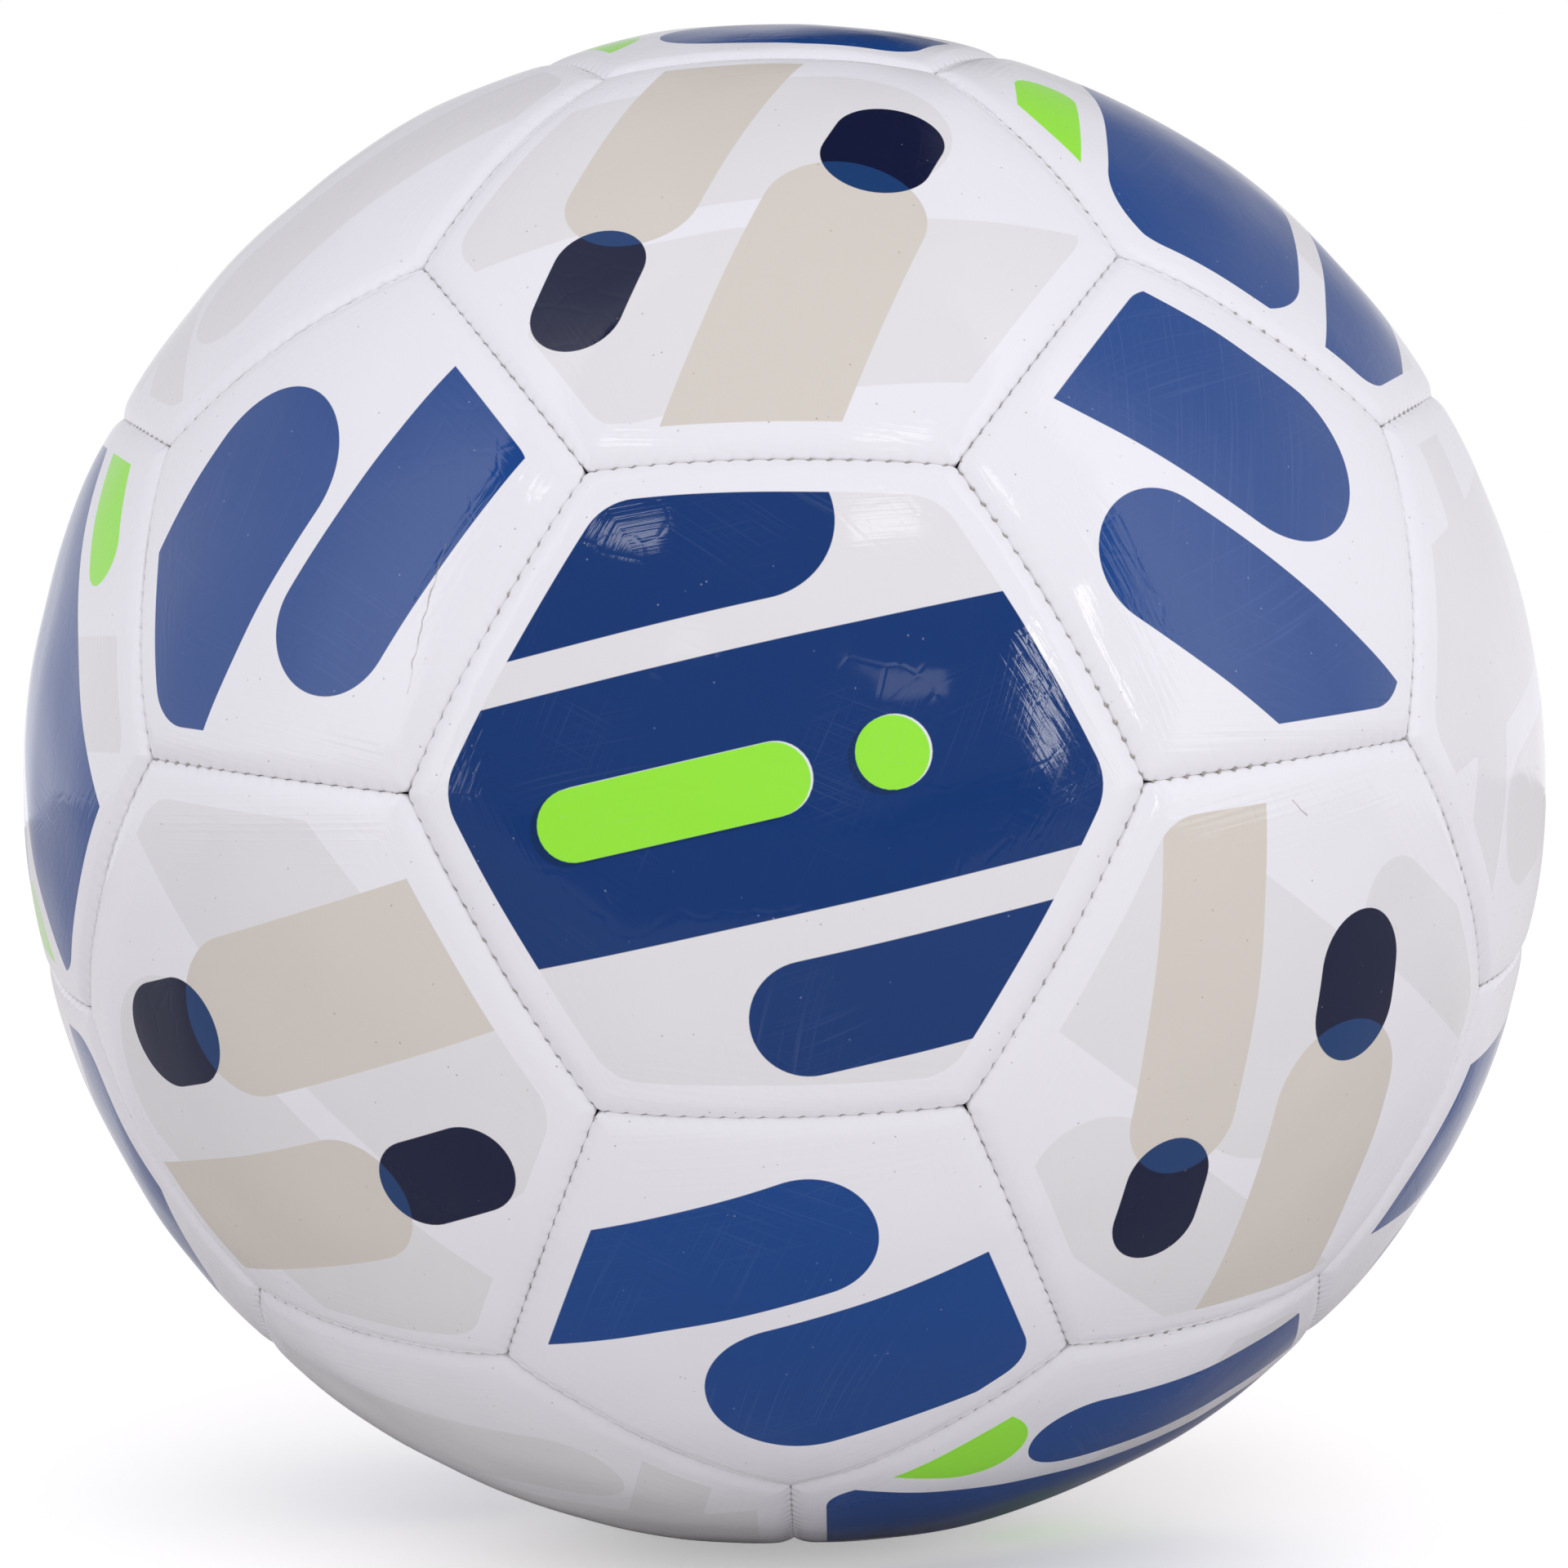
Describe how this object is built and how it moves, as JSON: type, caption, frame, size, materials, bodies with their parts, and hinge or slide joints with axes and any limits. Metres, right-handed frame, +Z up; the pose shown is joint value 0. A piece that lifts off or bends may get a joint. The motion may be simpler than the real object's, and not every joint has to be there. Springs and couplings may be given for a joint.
{
  "type": "futsal ball",
  "caption": "Sewn futsal ball with pentagon and hexagon panels, rolled seams with thread, a lined low-bounce bladder and a needle valve.",
  "frame": {"origin": "centre of the ball", "axes": "+Z up; the hexagon in the middle of the picture faces -Y with a hexagon above it; the valve is on +Y"},
  "size_m": [0.2004, 0.2005, 0.2006],
  "materials": {
    "hexagon_skin": "gloss",
    "pentagon_skin": "gloss",
    "panel_foam": "matte",
    "cloth_lining": "matte",
    "sewing_thread": "satin",
    "butyl_bladder": "satin",
    "felt_liner": "matte",
    "valve_rubber": "satin",
    "valve_insert_rubber": "satin"
  },
  "bodies": {
    "root": {"pentagon_panel_01": "pentagon_skin", "pentagon_panel_02": "pentagon_skin", "pentagon_panel_03": "pentagon_skin", "pentagon_panel_04": "pentagon_skin", "pentagon_panel_05": "pentagon_skin", "pentagon_panel_06": "pentagon_skin", "pentagon_panel_07": "pentagon_skin", "pentagon_panel_08": "pentagon_skin", "pentagon_panel_09": "pentagon_skin", "pentagon_panel_10": "pentagon_skin", "pentagon_panel_11": "pentagon_skin", "pentagon_panel_12": "pentagon_skin", "hexagon_panel_01": "hexagon_skin", "hexagon_panel_02": "hexagon_skin", "hexagon_panel_03": "hexagon_skin", "hexagon_panel_04": "hexagon_skin", "hexagon_panel_05": "hexagon_skin", "hexagon_panel_06": "hexagon_skin", "hexagon_panel_07": "hexagon_skin", "hexagon_panel_08": "hexagon_skin", "hexagon_panel_09": "hexagon_skin", "hexagon_panel_10": "hexagon_skin", "hexagon_panel_11": "hexagon_skin", "hexagon_panel_12": "hexagon_skin", "hexagon_panel_13": "hexagon_skin", "hexagon_panel_14": "hexagon_skin", "hexagon_panel_15": "hexagon_skin", "hexagon_panel_16": "hexagon_skin", "hexagon_panel_17": "hexagon_skin", "hexagon_panel_18": "hexagon_skin", "hexagon_panel_19": "hexagon_skin", "hexagon_valve_panel": "hexagon_skin", "pentagon_foams": "panel_foam", "hexagon_foams": "panel_foam", "pentagon_linings": "cloth_lining", "hexagon_linings": "cloth_lining", "seam_threads": "sewing_thread", "bladder": "butyl_bladder", "bladder_liner": "felt_liner", "valve_housing": "valve_rubber", "valve_insert": "valve_insert_rubber", "valve_patch": "cloth_lining"}
  },
  "joints": []
}
